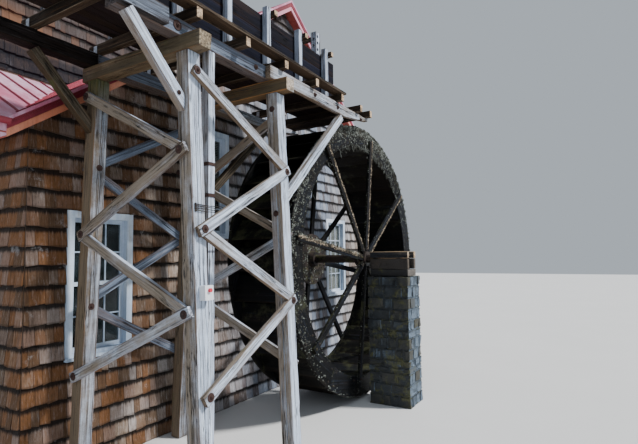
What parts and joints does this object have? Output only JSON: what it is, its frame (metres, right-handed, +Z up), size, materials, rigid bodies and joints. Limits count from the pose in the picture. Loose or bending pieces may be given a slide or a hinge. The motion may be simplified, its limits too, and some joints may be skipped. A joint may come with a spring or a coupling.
{
  "type": "watermill",
  "caption": "Overshot watermill: timber flume on a braced trestle, bucket wheel on a stone pier, and a shingled mill house with red metal roofs.",
  "frame": {"origin": "centre of the outer pier's underside, on the floor", "axes": "+X down the flume, the way the water runs; +Y from the pier through the wheel to the house; +Z up"},
  "size_m": [13.978, 9.835, 11.0298],
  "materials": {
    "weathered_timber": "sawn, grey and rough",
    "flume_boards": "dark, wet and rough",
    "wheel_timber": "black, wet and mossy",
    "wheel_iron": "rusty, greasy near the bearings",
    "pier_stone": "coursed stone, mossy",
    "shingle_wall": "shingled, weathered",
    "upper_wall": "dark stained shingles",
    "roof_metal": "red standing seam",
    "roof_trim": "dark red paint",
    "window_frame": "white paint, chalky",
    "window_glass": "clear",
    "inner_floor": "worn boards",
    "switch_case": "moulded",
    "switch_button": "moulded"
  },
  "bodies": {
    "mill": {"post_upstream_outer": "weathered_timber", "post_upstream_inner": "weathered_timber", "post_downstream_outer": "weathered_timber", "post_downstream_inner": "weathered_timber", "cap_upstream": "weathered_timber", "cap_downstream": "weathered_timber", "braces_upstream": "weathered_timber", "braces_downstream": "weathered_timber", "braces_outer": "weathered_timber", "braces_inner": "weathered_timber", "knee_braces": "weathered_timber", "prop_post": "weathered_timber", "switch_box": "switch_case", "switch_button": "switch_button", "stringers_upstream": "weathered_timber", "stringers_middle": "weathered_timber", "stringers_downstream": "weathered_timber", "flume_sills": "weathered_timber", "flume_floor": "flume_boards", "flume_side_outer": "flume_boards", "flume_side_inner": "flume_boards", "flume_yokes": "weathered_timber", "flume_ties": "weathered_timber", "gate_stem": "weathered_timber", "gate_bar": "weathered_timber", "flume_ledge": "weathered_timber", "pier": "pier_stone", "pier_seat": "pier_stone", "pier_cheeks": "pier_stone", "pier_curbs": "weathered_timber", "bearing_outer": "wheel_iron", "wall_bearing": "wheel_iron", "front_wall": "shingle_wall", "gable_side_walls": "shingle_wall", "main_front_wall": "upper_wall", "main_back_wall": "upper_wall", "main_end_walls": "upper_wall", "floors": "inner_floor", "gable_roof_upstream": "roof_metal", "gable_roof_downstream": "roof_metal", "rake_fascia": "roof_trim", "lean_to_roofs": "roof_metal", "main_roof_front": "roof_metal", "main_roof_back": "roof_metal", "gutters": "roof_trim", "gable_window_frames": "window_frame", "gable_window_glass": "window_glass", "main_window_frames": "window_frame", "main_window_glass": "window_glass"},
    "wheel": {"wheel_shaft": "wheel_iron", "hub_outer": "wheel_iron", "hub_inner": "wheel_iron", "spokes_outer": "wheel_timber", "spokes_inner": "wheel_timber", "shroud_outer": "wheel_timber", "shroud_inner": "wheel_timber", "sole": "wheel_timber", "buckets": "wheel_timber"}
  },
  "joints": [
    {"name": "wheel_turn", "type": "hinge", "parent": "mill", "child": "wheel", "pos_m": [0, 1.3, 2.81], "axis": [0, 1, 0], "continuous": true}
  ]
}
